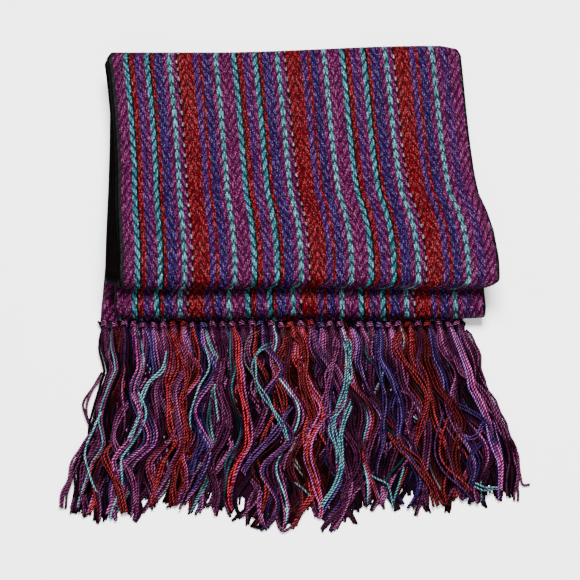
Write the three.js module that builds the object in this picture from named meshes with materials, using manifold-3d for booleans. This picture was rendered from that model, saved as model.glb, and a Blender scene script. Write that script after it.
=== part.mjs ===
// A woven scarf folded for display: the cloth is doubled end to end, so both fringes lie together at
// the front, and the doubled cloth is then folded back and forth into five panels, ten layers deep.
// Each stretch that shows is a thin wall; the layers that do not show share one solid whose edges are
// layered like the cloth. Millimetres. +Z is up, +X is to the right, and the fringes point to -Y.
import * as THREE from "three";
import Module from "manifold-3d";
import { mergeVertices } from "three/addons/utils/BufferGeometryUtils.js";

const wasm = await Module();
wasm.setup();

// ---- Driving sizes -------------------------------------------------------------------------------
const WALL = 1.5; // thickness of the cloth
const GAP = 0.3; // between pieces that lie on each other
const PITCH = WALL + GAP; // from one layer to the next

// The folds: the axis of each and its outer radius.
const TOP_FRONT_FOLD = { y: 3.2, z: 22.9, radius: 7.0 };
const LOWER_FRONT_FOLD = { y: -8.8, z: 9.6, radius: 6.0 };
const TOP_BACK_FOLD = { y: 147.3, z: 23.3, radius: 3.1 };
const MIDDLE_BACK_FOLD = { y: 144, z: 14.8, radius: 5.1 };
const BOTTOM_BACK_FOLD = { y: 146, z: 4.7, radius: 4.7 };

const CLOTH_END_Y = -14.5; // where the cloth stops and the fringe starts
const BACK_RETURN = [125, 136, 143]; // a back fold's hidden run, followed forward to the first of these
const UPPER_DEPTH_Y = 45; // how far back into the stack the shown pieces are followed
const LOWER_DEPTH_Y = 50;

// The stack is pressed flat in its middle and springs up towards its folds: how much of the front's
// height and how much of the back's there is at a depth.
const SPRING = [
  { y: 8, front: 1, back: 0 },
  { y: 25, front: 0.85, back: 0 },
  { y: 45, front: 0.53, back: 0 },
  { y: 65, front: 0.18, back: 0 },
  { y: 85, front: 0, back: 0 },
  { y: 98, front: 0, back: 0 },
  { y: 110, front: 0, back: 0.2 },
  { y: 125, front: 0, back: 0.56 },
  { y: 136, front: 0, back: 0.86 },
  { y: 143, front: 0, back: 1 },
];

// Heights of the faces between the layers at the front, where the stack is pressed flat, and at the back.
const LEVELS = {
  upperEnd: { front: 1.8, flat: 1.8, back: 1.8 },
  lowerUnder: { front: 3.6, flat: 3.6, back: 4.7 },
  lowerInnerUnder: { front: 5.4, flat: 5.4, back: 7.6 },
  lowerInnerMiddle: { front: 9.6, flat: 7.35, back: 9.55 },
  lowerOver: { front: 13.8, flat: 9.3, back: 11.5 },
  between: { front: 15.75, flat: 11.4, back: 14.8 },
  topInnerUnder: { front: 17.7, flat: 13.5, back: 18.1 },
  topInnerMiddle: { front: 22.9, flat: 15.45, back: 20.05 },
  topUnder: { front: 28.1, flat: 17.7, back: 22.6 },
  top: { front: 29.9, flat: 19.5, back: 26.4 },
};

// Where the two selvedges of a layer lie at a depth. Folding by hand leaves them askew.
const EDGES = {
  topStretch: [
    { y: -5, left: -90.9, right: 111 },
    { y: 12, left: -91.4, right: 111.2 },
    { y: 30, left: -93.1, right: 110 },
    { y: 42, left: -94.4, right: 107.5 },
    { y: 54, left: -95.5, right: 103.6 },
    { y: 70, left: -96.4, right: 102 },
    { y: 110, left: -100.6, right: 99.8 },
    { y: 145, left: -105, right: 97.9 },
    { y: 151, left: -102, right: 95.4 },
  ],
  topInner: [
    { y: 0, left: -98, right: 99.5 },
    { y: 110, left: -102.3, right: 95.2 },
    { y: 135, left: -105.5, right: 93.8 },
    { y: 151, left: -106.2, right: 93 },
  ],
  betweenFolds: [
    { y: 0, left: -90, right: 106 },
    { y: 151, left: -100, right: 97 },
  ],
  lowerFold: [
    { y: -15, left: -93, right: 104.7 },
    { y: 151, left: -99, right: 98 },
  ],
  lowerInner: [
    { y: -15, left: -93.5, right: 98 },
    { y: 151, left: -103.5, right: 95.5 },
  ],
  upperEnd: [
    { y: -15, left: -102.5, right: 92.5 },
    { y: 45, left: -101, right: 97 },
    { y: 151, left: -98.5, right: 98 },
  ],
  underStretch: [
    { y: -15, left: -101, right: 93.5 },
    { y: 45, left: -101.5, right: 97 },
    { y: 151, left: -102.5, right: 96 },
  ],
  middleBack: [
    { y: 120, left: -103, right: 95 },
    { y: 143, left: -103.5, right: 94.3 },
    { y: 150, left: -102, right: 92.5 },
  ],
};

// The hidden layers from the bottom up: the faces they lie between and how far they reach. Those with
// a nose lie inside a front fold; those with a fold lie inside a back fold.
const HIDDEN_LAYERS = [
  {
    faces: ["upperEnd", "lowerUnder"],
    edges: "upperEnd",
    front: LOWER_DEPTH_Y,
    fold: BOTTOM_BACK_FOLD,
  },
  {
    faces: ["lowerUnder", "lowerInnerUnder"],
    edges: "lowerFold",
    front: LOWER_DEPTH_Y,
    fold: BOTTOM_BACK_FOLD,
  },
  { faces: ["lowerInnerUnder", "lowerInnerMiddle"], edges: "lowerInner", nose: LOWER_FRONT_FOLD },
  { faces: ["lowerInnerMiddle", "lowerOver"], edges: "lowerInner", nose: LOWER_FRONT_FOLD },
  {
    faces: ["lowerOver", "between"],
    edges: "lowerFold",
    front: LOWER_DEPTH_Y,
    fold: MIDDLE_BACK_FOLD,
  },
  {
    faces: ["between", "topInnerUnder"],
    edges: "betweenFolds",
    front: UPPER_DEPTH_Y,
    fold: MIDDLE_BACK_FOLD,
  },
  { faces: ["topInnerUnder", "topInnerMiddle"], edges: "topInner", nose: TOP_FRONT_FOLD },
  { faces: ["topInnerMiddle", "topUnder"], edges: "topInner", nose: TOP_FRONT_FOLD },
];

const FRINGE = {
  knots: 37, // tied bunches at each end of the scarf
  stripDepth: 1.6, // the last wefts, which hold the bunches
  knotLength: 4.4,
  locksPerKnot: 2,
  bends: 6, // straight runs a lock is drawn with
  length: 110, // from the knots to the tips, as it lies
  lengthSpread: 7,
  swing: 3, // sideways swing of the locks
};

// How far a fringe's two sides have spread outwards at a distance from the knots.
const SPREAD = [
  { along: 0, left: 0, right: 0 },
  { along: 18, left: -1.2, right: 5 },
  { along: 30, left: -5.5, right: 6.8 },
  { along: 41, left: -3, right: 7.7 },
  { along: 60, left: 1.5, right: 18.2 },
  { along: 73, left: 1.5, right: 20.8 },
  { along: 82, left: 6.5, right: 22.5 },
  { along: 95, left: 7.5, right: 21.5 },
  { along: 118, left: 14.5, right: 20 },
];

const CLOTH_LOOK = { roughness: 0.72, metalness: 0 };

// ---- Small helpers -------------------------------------------------------------------------------
const mix = (a, b, t) => a + (b - a) * t;
const smooth = (from, to, value) => {
  const t = Math.min(1, Math.max(0, (value - from) / (to - from)));
  return t * t * (3 - 2 * t);
};
const steps = (from, to, count) => Array.from({ length: count + 1 }, (_, i) => mix(from, to, i / count));

// Repeatable scatter between -1 and 1.
const scatter = (i, salt) => {
  const s = Math.sin(i * 12.9898 + salt * 78.233) * 43758.5453;
  return 2 * (s - Math.floor(s)) - 1;
};

// One column of a table whose rows are in order of their key, read between its rows.
function read(rows, column, at, key = "y") {
  const found = rows.findIndex((row) => row[key] >= at);
  const next = found < 0 ? rows.length - 1 : Math.max(1, found);
  const [a, b] = [rows[next - 1], rows[next]];
  const t = Math.min(1, Math.max(0, (at - a[key]) / (b[key] - a[key])));
  return mix(a[column], b[column], t);
}

// A layer face's height at depth y, and where a layer's selvedges are there.
function level(name, y) {
  const { front, flat, back } = LEVELS[name];
  return flat + (front - flat) * read(SPRING, "front", y) + (back - flat) * read(SPRING, "back", y);
}
const edgesAt = (name, y) => ({ left: read(EDGES[name], "left", y), right: read(EDGES[name], "right", y) });

// A front fold wanders a little along its length, and the top panel's back fold is not square: it lies
// further forward at the left than at the right, and turns in at its right corner.
const straight = () => 0;
const wander = (x, y) => 0.6 * Math.sin((x + 24) / 21) * (1 - smooth(0, 60, y));
const backLine = (x) => 4.6 * smooth(-45, 80, x) - 3.4 - 2.2 * smooth(86, 98, x);
const topWander = (x, y) => wander(x, y) + backLine(x) * smooth(128, 147, y);

// The top panel is a little domed across its width and swells here and there, and it droops where it
// reaches past the layers under it.
function topRelief(x, y) {
  const inside = smooth(4, 30, y) * (1 - smooth(125, 145, y));
  const swell = 0.5 * (1 + Math.sin(x / 17 + y / 31)) * inside;
  const dome = 1.6 * Math.max(0, 1 - Math.abs((x - 5) / 104) ** 3) * inside;
  const droop = 2.6 * smooth(99.5, 112, x) * smooth(6, 30, y);
  return swell + dome - droop;
}

// Where the top stretch goes under itself its selvedges do not lie in line: the ply under the back fold
// has slid to the left, and the one under the front fold stops short at the right.
function skewed({ y, z, free }) {
  const below = level("top", y) - z;
  const aside = -1.8 * smooth(1.5, 4.4, below) * smooth(115, 125, y);
  const tuck = 11 * smooth(2.5, 11, below) * (1 - smooth(60, 100, y));
  return { y, z, free, aside, tuck };
}

const OVER_TO_UNDER = 1;
const UNDER_TO_OVER = -1;
const FRONT = -1;
const BACK = 1;

// Half a turn about a fold's axis along the middle of the wall, without its two ends.
function halfTurn(fold, side, turning, count) {
  const radius = fold.radius - WALL / 2;
  return steps(0, Math.PI, count).map((turn) => ({
    y: fold.y + side * radius * Math.sin(turn),
    z: fold.z + turning * radius * Math.cos(turn),
  }));
}

// ---- Solids --------------------------------------------------------------------------------------
function geometryOf(points, faces) {
  const geometry = new THREE.BufferGeometry();
  const numbers = points.flatMap((p) => [p.x, p.y, p.z]);
  geometry.setAttribute("position", new THREE.Float32BufferAttribute(numbers, 3));
  geometry.setIndex(faces.flat());
  return geometry;
}

// A wall of cloth: the path (y, z) is its middle line, walked with the cloth's outer face on the left
// hand when seen from +X. The table of edges says where its selvedges are, a point of the path may lie
// aside or be tucked in at its right, along says how its rows wander, and relief lifts the rows that lie
// free. The two faces stand half a wall off the middle surface along its normal.
function clothWall(path, edges, columns, along = straight, relief = straight) {
  const middle = path.map(({ y, z, free = 0, aside = 0, tuck = 0 }) => {
    const { left, right } = edgesAt(edges, y);
    const at = (x) => new THREE.Vector3(x, y + along(x, y), z + free * relief(x, y));
    return steps(left + aside, right + aside - tuck, columns).map(at);
  });
  const last = middle.length - 1;
  const normalAt = (i, j) => {
    const lengthwise = middle[Math.min(i + 1, last)][j].clone().sub(middle[Math.max(i - 1, 0)][j]);
    const across = middle[i][Math.min(j + 1, columns)].clone().sub(middle[i][Math.max(j - 1, 0)]);
    return across.cross(lengthwise).normalize();
  };
  const face = (side) =>
    middle.flatMap((row, i) =>
      row.map((p, j) => p.clone().addScaledVector(normalAt(i, j), (side * WALL) / 2)),
    );
  const a = (i, j) => i * (columns + 1) + j;
  const b = (i, j) => (last + 1) * (columns + 1) + a(i, j);
  const faces = [];
  const quad = (p, q, r, s) => faces.push([p, q, r], [p, r, s]);
  for (let i = 0; i < last; i++) {
    for (let j = 0; j < columns; j++) {
      quad(a(i, j), a(i, j + 1), a(i + 1, j + 1), a(i + 1, j));
      quad(b(i, j), b(i + 1, j), b(i + 1, j + 1), b(i, j + 1));
    }
    quad(a(i, 0), a(i + 1, 0), b(i + 1, 0), b(i, 0));
    quad(a(i + 1, columns), a(i, columns), b(i, columns), b(i + 1, columns));
  }
  for (let j = 0; j < columns; j++) {
    quad(a(0, j + 1), a(0, j), b(0, j), b(0, j + 1));
    quad(a(last, j), a(last, j + 1), b(last, j + 1), b(last, j));
  }
  return geometryOf([...face(1), ...face(-1)], faces);
}

// A closed solid through rings that have the same number of points, with a flat cap at each end.
function loft(rings) {
  const sides = rings[0].length;
  const last = rings.length - 1;
  const at = (ring, side) => ring * sides + (side % sides);
  const faces = [];
  for (let r = 0; r < last; r++)
    for (let s = 0; s < sides; s++) {
      faces.push([at(r, s), at(r, s + 1), at(r + 1, s + 1)]);
      faces.push([at(r, s), at(r + 1, s + 1), at(r + 1, s)]);
    }
  for (let s = 1; s < sides - 1; s++) {
    faces.push([at(0, 0), at(0, s + 1), at(0, s)]);
    faces.push([at(last, 0), at(last, s), at(last, s + 1)]);
  }
  return geometryOf(rings.flat(), faces);
}

// One solid out of several that run into each other.
function joined(geometries) {
  const solids = geometries.map((geometry) => {
    const merged = mergeVertices(geometry, 1e-4);
    return new wasm.Manifold(
      new wasm.Mesh({
        numProp: 3,
        vertProperties: merged.attributes.position.array,
        triVerts: new Uint32Array(merged.index.array),
      }),
    );
  });
  const { vertProperties, triVerts } = solids.reduce((sum, solid) => sum.add(solid)).getMesh();
  const geometry = new THREE.BufferGeometry();
  geometry.setAttribute("position", new THREE.Float32BufferAttribute(vertProperties, 3));
  geometry.setIndex(Array.from(triVerts));
  return geometry;
}

// ---- The stretches of cloth ----------------------------------------------------------------------
function topStretch() {
  const panel = [143, 136, 125, 110, 98, 85, 75, 65, 55, 45, 35, 25, 16.5, 8];
  const under = [8, 25, UPPER_DEPTH_Y];
  const path = [
    ...BACK_RETURN.map((y) => ({ y, z: level("topInnerMiddle", y) + PITCH / 2 })),
    ...halfTurn(TOP_BACK_FOLD, BACK, UNDER_TO_OVER, 5),
    ...panel.map((y) => ({ y, z: level("top", y) - WALL / 2, free: 1 })),
    ...halfTurn(TOP_FRONT_FOLD, FRONT, OVER_TO_UNDER, 8),
    ...under.map((y) => ({ y, z: level("between", y) + PITCH / 2 })),
  ];
  return clothWall(path.reverse().map(skewed), "topStretch", 18, topWander, topRelief);
}

function lowerFold() {
  const over = [LOWER_DEPTH_Y, 45, 25, 8];
  const path = [
    ...over.map((y) => ({ y, z: level("between", y) - PITCH / 2 })),
    ...halfTurn(LOWER_FRONT_FOLD, FRONT, OVER_TO_UNDER, 8),
    { y: LOWER_DEPTH_Y, z: LOWER_FRONT_FOLD.z - LOWER_FRONT_FOLD.radius + WALL / 2 },
  ];
  return clothWall(path.reverse(), "lowerFold", 16, wander);
}

function upperFringedEnd() {
  const path = [CLOTH_END_Y, 15, LOWER_DEPTH_Y].map((y) => ({ y, z: LEVELS.upperEnd.front + WALL / 2 }));
  return clothWall(path, "upperEnd", 8);
}

function underStretch() {
  const path = [
    ...[CLOTH_END_Y, 15, 45, 100].map((y) => ({ y, z: WALL / 2 })),
    ...halfTurn(BOTTOM_BACK_FOLD, BACK, UNDER_TO_OVER, 6),
    ...BACK_RETURN.toReversed().map((y) => ({ y, z: level("lowerInnerMiddle", y) - PITCH / 2 })),
  ];
  return clothWall(path.reverse(), "underStretch", 10);
}

function middleBackFold() {
  const path = [
    ...BACK_RETURN.map((y) => ({ y, z: level("lowerInnerMiddle", y) + PITCH / 2 })),
    ...halfTurn(MIDDLE_BACK_FOLD, BACK, UNDER_TO_OVER, 6),
    ...BACK_RETURN.toReversed().map((y) => ({ y, z: level("topInnerMiddle", y) - PITCH / 2 })),
  ];
  return clothWall(path.reverse(), "middleBack", 10);
}

// One hidden layer: flat sections across the stack whose blunt ends are the layer's selvedges.
function hiddenLayer({ faces, edges, front, nose, fold }) {
  const [under, over] = faces;
  const blunt = 0.8;
  const lap = 0.08; // layers run a little into the next one, so that they are one solid
  const room = nose ? nose.radius - PITCH : 0; // inside the wall of the front fold
  const axis = nose ? nose.y + 1.2 : 0; // set back, as the fold's wall wanders
  const noseAt = nose ? [0.96, 0.75, 0.4, 0].map((share) => axis - room * share) : [front + GAP];
  const back = fold ? fold.y : BACK_RETURN[0] - GAP;
  const stations = [...noseAt, ...SPRING.map((row) => row.y).filter((y) => y > noseAt.at(-1) && y < back)];
  const rings = [...stations, back].map((y) => {
    const inNose = nose && y < axis;
    const round = inNose ? Math.sqrt(room ** 2 - (y - axis) ** 2) : 0;
    const low = inNose ? Math.max(level(under, y), nose.z - round) : level(under, y);
    const high = inNose ? Math.min(level(over, y), nose.z + round) : level(over, y);
    const top = over === "topUnder" ? high : high + lap;
    const { left, right } = edgesAt(edges, y);
    return [
      [left + blunt, low],
      [right - blunt, low],
      [right, (low + high) / 2],
      [right - blunt, top],
      [left + blunt, top],
      [left, (low + high) / 2],
    ].map(([x, z]) => new THREE.Vector3(x, y, z));
  });
  return loft(rings.map((ring) => ring.reverse()));
}

// ---- The fringes ---------------------------------------------------------------------------------
// The line of a lock: it leaves the knot straight, then spreads outwards and swings from side to side.
// Locks side by side swing together, so they do not cross. Share is 0 at the left and 1 at the right.
function lockLine(rootX, share, along, phase) {
  const spread = mix(-read(SPREAD, "left", along, "along"), read(SPREAD, "right", along, "along"), share);
  const inside = smooth(0, 0.12, share) * (1 - smooth(0.88, 1, share));
  const swing = FRINGE.swing * inside * smooth(0, 35, along) * Math.sin(along / 11.5 + phase + rootX / 34);
  return rootX + spread + swing;
}

// A fringe: a narrow strip of the last wefts, a knot for each bunch, and the locks that hang from it.
function fringe(edges, floor, phase, salt) {
  const { left, right } = edgesAt(edges, CLOTH_END_Y);
  const stripBack = CLOTH_END_Y - GAP;
  const stripFront = stripBack - FRINGE.stripDepth;
  const stripHigh = floor + WALL;
  const section = (y) => [
    new THREE.Vector3(left + 0.5, y, floor),
    new THREE.Vector3(right - 0.5, y, floor),
    new THREE.Vector3(right - 0.5, y, stripHigh),
    new THREE.Vector3(left + 0.5, y, stripHigh),
  ];
  const solids = [loft([section(stripBack), section(stripFront)])];
  const pitch = (right - left - 3) / (FRINGE.knots - 1);
  for (let k = 0; k < FRINGE.knots; k++) {
    const knotX = left + 1.5 + k * pitch;
    for (let n = 0; n < FRINGE.locksPerKnot; n++) {
      const id = k * FRINGE.locksPerKnot + n;
      const length = FRINGE.length + FRINGE.lengthSpread * scatter(id, salt);
      const rootX = knotX + (n - 0.5) * (pitch / 2);
      const share = (rootX - left) / (right - left);
      const reach = [-0.8, 1.6, ...steps(FRINGE.knotLength, length, FRINGE.bends)];
      const rings = reach.map((along, i) => {
        const isKnot = i === 1 && n === 0;
        const isTip = i === reach.length - 1;
        const half = isTip ? 0.45 : isKnot ? 0.75 : 0.68 + 0.12 * scatter(id + i, salt + 3);
        const x = lockLine(rootX, share, Math.max(0, along), phase);
        const y = stripFront - along;
        const high = isTip ? floor + 0.8 : floor + WALL - 0.05;
        return [
          new THREE.Vector3(x - half, y, floor + 0.03),
          new THREE.Vector3(x + half, y, floor + 0.03),
          new THREE.Vector3(x, y, high),
        ];
      });
      solids.push(loft(rings));
    }
  }
  return joined(solids);
}

// ---- The scarf -----------------------------------------------------------------------------------
const PIECES = [
  { name: "top_stretch", colour: 0x8c2a78, geometry: topStretch() },
  { name: "lower_fold", colour: 0x7d2369, geometry: lowerFold() },
  { name: "upper_fringed_end", colour: 0x6a1f5c, geometry: upperFringedEnd() },
  { name: "under_stretch", colour: 0x6a1f5c, geometry: underStretch() },
  { name: "middle_back_fold", colour: 0x6a1f5c, geometry: middleBackFold() },
  { name: "hidden_layers", colour: 0x1c1018, geometry: joined(HIDDEN_LAYERS.map(hiddenLayer)) },
  { name: "upper_fringe", colour: 0x9a2f86, geometry: fringe("upperEnd", LEVELS.upperEnd.front, 0.4, 1) },
  { name: "lower_fringe", colour: 0x7a2a70, geometry: fringe("underStretch", 0, 1.1, 2) },
];

const group = new THREE.Group();
group.name = "woven_scarf";
for (const { name, colour, geometry } of PIECES) {
  geometry.computeVertexNormals();
  const material = new THREE.MeshStandardMaterial({ color: colour, ...CLOTH_LOOK });
  const mesh = new THREE.Mesh(geometry, material);
  mesh.name = name;
  group.add(mesh);
}

// The origin is the middle of the footprint, on the table.
const bounds = new THREE.Box3().setFromObject(group);
const middle = bounds.getCenter(new THREE.Vector3());
for (const mesh of group.children) mesh.geometry.translate(-middle.x, -middle.y, -bounds.min.z);

export default group;
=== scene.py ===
# %% [markdown]
# # A folded scarf with a knotted fringe
# The real thing is one long strip of handwoven cloth: silky coloured warp over a black weft, folded
# back and forth into a flat stack, with both knotted fringes combed out at the front. The packed solids
# give every stretch its place. Each is remade as a thin shell of cloth whose mesh lines are the scarf's
# own warp ends and picks, and each fringe as hundreds of separate yarns.

# %% The packed frame
import math

import bpy
import numpy as np
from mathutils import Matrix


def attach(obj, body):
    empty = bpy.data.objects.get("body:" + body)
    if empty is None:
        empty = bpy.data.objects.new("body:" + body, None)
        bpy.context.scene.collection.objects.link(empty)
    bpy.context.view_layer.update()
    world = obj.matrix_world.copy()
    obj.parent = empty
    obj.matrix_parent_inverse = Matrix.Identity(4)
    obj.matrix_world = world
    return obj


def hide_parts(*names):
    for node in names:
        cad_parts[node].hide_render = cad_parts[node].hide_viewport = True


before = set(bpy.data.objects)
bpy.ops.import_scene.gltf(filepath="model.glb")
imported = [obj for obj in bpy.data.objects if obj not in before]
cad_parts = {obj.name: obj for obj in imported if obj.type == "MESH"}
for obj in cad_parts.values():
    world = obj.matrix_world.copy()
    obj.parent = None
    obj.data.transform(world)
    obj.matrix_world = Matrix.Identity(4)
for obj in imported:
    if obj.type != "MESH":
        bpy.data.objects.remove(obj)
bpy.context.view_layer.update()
MM = 0.001
print("nodes:", sorted(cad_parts))

# %% [markdown]
# ## Camera and light
# The stack is seen from the front and from well above, with a long lens, so its sides stay nearly
# parallel. A camera is easiest to aim by a point to look at, an angle above the floor and a distance.
# One strong soft lamp hangs overhead, a little behind the stack, so that the tops of the folds shine and
# their undersides fall into deep shade. Two weak ones stand in front and at the left.

# %% Camera
# The folding was laid out around a point under the stack's front half; the packed frame is centred.
LAYOUT_TO_FRAME = np.array([-1.267, -9.118, 0.0])  # millimetres

ELEVATION = math.radians(64.0)
DISTANCE = 0.80
LOOKED_AT = (np.array([0.0, 0.0, 12.0]) + LAYOUT_TO_FRAME) * MM

camera_data = bpy.data.cameras.new("camera")
camera_data.lens = 91.6
camera_data.sensor_width = 36.0
camera = bpy.data.objects.new("camera", camera_data)
bpy.context.collection.objects.link(camera)
camera.location = LOOKED_AT + DISTANCE * np.array([0.0, -math.cos(ELEVATION), math.sin(ELEVATION)])
camera.rotation_euler = (math.pi / 2 - ELEVATION, 0.0, 0.0)
bpy.context.scene.camera = camera
print("camera at", [round(v, 3) for v in camera.location])


# %% Lights and the table
def soft_light(name, x, y, z, size, power):
    """A square area lamp at (x, y, z), turned so that its -Z axis points at the origin."""
    data = bpy.data.lights.new(name, "AREA")
    data.size = size
    data.energy = power
    lamp = bpy.data.objects.new(name, data)
    bpy.context.collection.objects.link(lamp)
    lamp.location = (x, y, z)
    lamp.rotation_euler = (math.atan2(math.hypot(x, y), z), 0.0, math.atan2(x, -y))


soft_light("overhead", 0.05, 0.22, 1.10, size=0.50, power=52.0)
soft_light("front", 0.10, -0.90, 0.90, size=0.80, power=14.0)
soft_light("left_side", -1.10, 0.10, 0.75, size=0.60, power=4.0)

world = bpy.data.worlds.new("studio")
bpy.context.scene.world = world
world.use_nodes = True
background = world.node_tree.nodes["Background"]
background.inputs["Color"].default_value = (1.0, 1.0, 1.0, 1.0)
background.inputs["Strength"].default_value = 0.25

bpy.ops.mesh.primitive_plane_add(size=6.0)
table = bpy.context.object
table.name = "table"

# %% [markdown]
# ## How the scarf is folded
# The scarf is doubled end to end, so both fringes lie together, and the doubled cloth goes back and
# forth in five panels. A fold is easiest to describe from the side, as a path of (y, z) points: straight
# runs whose heights come from a table, and half circles at the ends. The stack is pressed flat in its
# middle and springs up towards its folds, so every height is a mix of three values. The tables are the
# packed solids' own, because each shell has to lie on its solid.

# %% Heights, selvedges and folds, in millimetres
WALL = 1.5  # thickness of the cloth
PITCH = 1.8  # from one layer to the next

TOP_FRONT = dict(y=3.2, z=22.9, radius=7.0)
LOWER_FRONT = dict(y=-8.8, z=9.6, radius=6.0)
TOP_BACK = dict(y=147.3, z=23.3, radius=3.1)
MIDDLE_BACK = dict(y=144.0, z=14.8, radius=5.1)
BOTTOM_BACK = dict(y=146.0, z=4.7, radius=4.7)
CLOTH_END_Y = -14.5  # where the cloth stops and the fringe starts
BACK_RETURN_Y = 125.0  # how far forward the hidden run of a back fold is followed
UPPER_DEPTH_Y = 45.0  # how far back into the stack the shown pieces are followed
LOWER_DEPTH_Y = 50.0
UPPER_END_Z = 2.55  # the middle of the fringed end that lies on the lower one

# How much of the front's height, and of the back's, there is at a depth: rows of (y, front, back).
SPRING = [
    (8, 1, 0), (25, 0.85, 0), (45, 0.53, 0), (65, 0.18, 0), (85, 0, 0), (98, 0, 0),
    (110, 0, 0.2), (125, 0, 0.56), (136, 0, 0.86), (143, 0, 1),
]

FACES = {  # the faces between the layers: (height at the front, where pressed flat, at the back)
    "lower_under": (3.6, 3.6, 4.7),
    "lower_inner_under": (5.4, 5.4, 7.6),
    "lower_inner_middle": (9.6, 7.35, 9.55),
    "lower_over": (13.8, 9.3, 11.5),
    "between": (15.75, 11.4, 14.8),
    "top_inner_under": (17.7, 13.5, 18.1),
    "top_inner_middle": (22.9, 15.45, 20.05),
    "top_under": (28.1, 17.7, 22.6),
    "top": (29.9, 19.5, 26.4),
}
ON, UNDER = PITCH / 2, -PITCH / 2  # from a face to the middle of the wall that lies on it or under it
INNER = WALL / 2  # the same for the plies inside the stack

EDGES = {  # name: rows of (y, left x, right x)
    "top": [(-5, -90.9, 111), (12, -91.4, 111.2), (30, -93.1, 110), (42, -94.4, 107.5), (54, -95.5, 103.6),
            (70, -96.4, 102), (110, -100.6, 99.8), (145, -105, 97.9), (151, -102, 95.4)],
    "top_inner": [(0, -98, 99.5), (110, -102.3, 95.2), (135, -105.5, 93.8), (151, -106.2, 93)],
    "between": [(0, -90, 106), (151, -100, 97)],
    "lower": [(-15, -93, 104.7), (151, -99, 98)],
    "lower_inner": [(-15, -93.5, 98), (151, -103.5, 95.5)],
    "upper_end": [(-15, -102.5, 92.5), (45, -101, 97), (151, -98.5, 98)],
    "under": [(-15, -101, 93.5), (45, -101.5, 97), (151, -102.5, 96)],
    "middle_back": [(120, -103, 95), (143, -103.5, 94.3), (150, -102, 92.5)],
}


def smooth(low, high, value):
    """0 below low, 1 above high, and an S-shaped step between: 3t^2 - 2t^3."""
    t = np.clip((value - low) / (high - low), 0, 1)
    return t * t * (3 - 2 * t)


def read(table, at, column=1):
    """A column of a table, read between the rows where the first column has the value asked for."""
    rows = np.array(table, float)
    return np.interp(at, rows[:, 0], rows[:, column])


def level(name, y):
    """The height of a face at depth y: its flat height, plus its share of the spring at either end."""
    front, flat, back = FACES[name]
    return flat + (front - flat) * read(SPRING, y) + (back - flat) * read(SPRING, y, 2)


def unit(vectors):
    """Directions with the length of one."""
    return vectors / np.linalg.norm(vectors, axis=-1, keepdims=True)


def run(name, start, end, offset):
    """The middle of a wall beside a face, from depth start to depth end, as (y, z) points 1 mm apart."""
    y = np.linspace(start, end, int(abs(end - start)) + 2)
    return np.column_stack([y, level(name, y) + offset])


def flat_run(z, start, end):
    """The same at one height."""
    y = np.linspace(start, end, int(abs(end - start)) + 2)
    return np.column_stack([y, np.full_like(y, z)])


def half_turn(fold, side, turning, inset=0.0):
    """Half a circle about a fold's axis, along the middle of the wall; side -1 is the front, 1 the
    back, and turning 1 goes from over the axis to under it."""
    turn = np.linspace(0, math.pi, 24)
    radius = fold["radius"] - WALL / 2 - inset
    y = fold["y"] + side * radius * np.sin(turn)
    return np.column_stack([y, fold["z"] + turning * radius * np.cos(turn)])


def joined(first, turn, last):
    """Two runs and the half turn between them, whose ends stand in for the runs' own."""
    return np.concatenate([first[:-1], turn, last[1:]])


print("stack height at the front, in the middle and at the back:", FACES["top"])

# %% [markdown]
# ## The stripes
# The cloth is warp-faced: the colours are in the lengthwise yarns, and the black weft hardly shows. A
# weaver writes such stripes down as a threading: so many ends of each colour, and the way the twill
# line runs in them. Where it turns back there are little points. One table colours cloth and fringe.

# %% The threading
YARNS = {
    "magenta": (0.190, 0.0045, 0.110),
    "red": (0.265, 0.001, 0.009),
    "teal": (0.058, 0.32, 0.42),
    "pale_teal": (0.12, 0.39, 0.49),
    "blue": (0.050, 0.008, 0.150),
    "violet": (0.095, 0.008, 0.155),
    "silver": (0.38, 0.27, 0.31),
    "black": (0.003, 0.002, 0.004),
    "grey": (0.09, 0.08, 0.09),
}
DEPTH = 0.22  # deep dyes: how much of those colours' lightness the cloth has
DIPS = {"teal": 0.62, "pale_teal": 0.62, "silver": 1.3}  # how wide an end's dips are, in picks
USUAL_DIP = 0.36

# (colour, ends, way): the twill line leans right going up the cloth where way is 1, and left where -1.
REPEAT = [
    ("teal", 3, -1), ("black", 1, 1), ("red", 3, 1), ("violet", 4, -1), ("magenta", 3, -1),
    ("teal", 3, 1), ("black", 1, -1), ("red", 2, -1), ("blue", 6, -1), ("magenta", 3, 1),
    ("pale_teal", 2, 1), ("pale_teal", 1, -1), ("magenta", 3, -1), ("silver", 1, -1),
    ("red", 5, 1), ("red", 5, -1), ("violet", 4, 1), ("red", 1, 1), ("red", 1, -1),
    ("blue", 5, -1), ("magenta", 3, 1), ("pale_teal", 2, 1), ("pale_teal", 1, -1),
    ("magenta", 4, -1), ("magenta", 5, 1),
]
LEFT_BORDER = [("black", 1, 1), ("grey", 2, 1), ("magenta", 7, 1)]
RIGHT_BORDER = [("magenta", 4, 1), ("violet", 5, -1), ("magenta", 7, 1), ("black", 1, -1)]
THREADING = LEFT_BORDER + REPEAT * 2 + REPEAT[:-2] + RIGHT_BORDER

END_NAME = [name for name, ends, way in THREADING for _ in range(ends)]
END_COLOUR = DEPTH * np.array([YARNS[name] for name in END_NAME])
END_DIP = np.array([DIPS.get(name, USUAL_DIP) for name in END_NAME])
END_WAY = np.array([way for name, ends, way in THREADING for _ in range(ends)])
END_LIFT = -np.cumsum(END_WAY) % 4  # how far each end's floats are shifted, in picks
ENDS = len(END_COLOUR)
PICK = 1.75  # millimetres from one pick of weft to the next
SELVEDGE = 3  # ends at the left selvedge that are woven plain, so they show as fine dots

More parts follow.
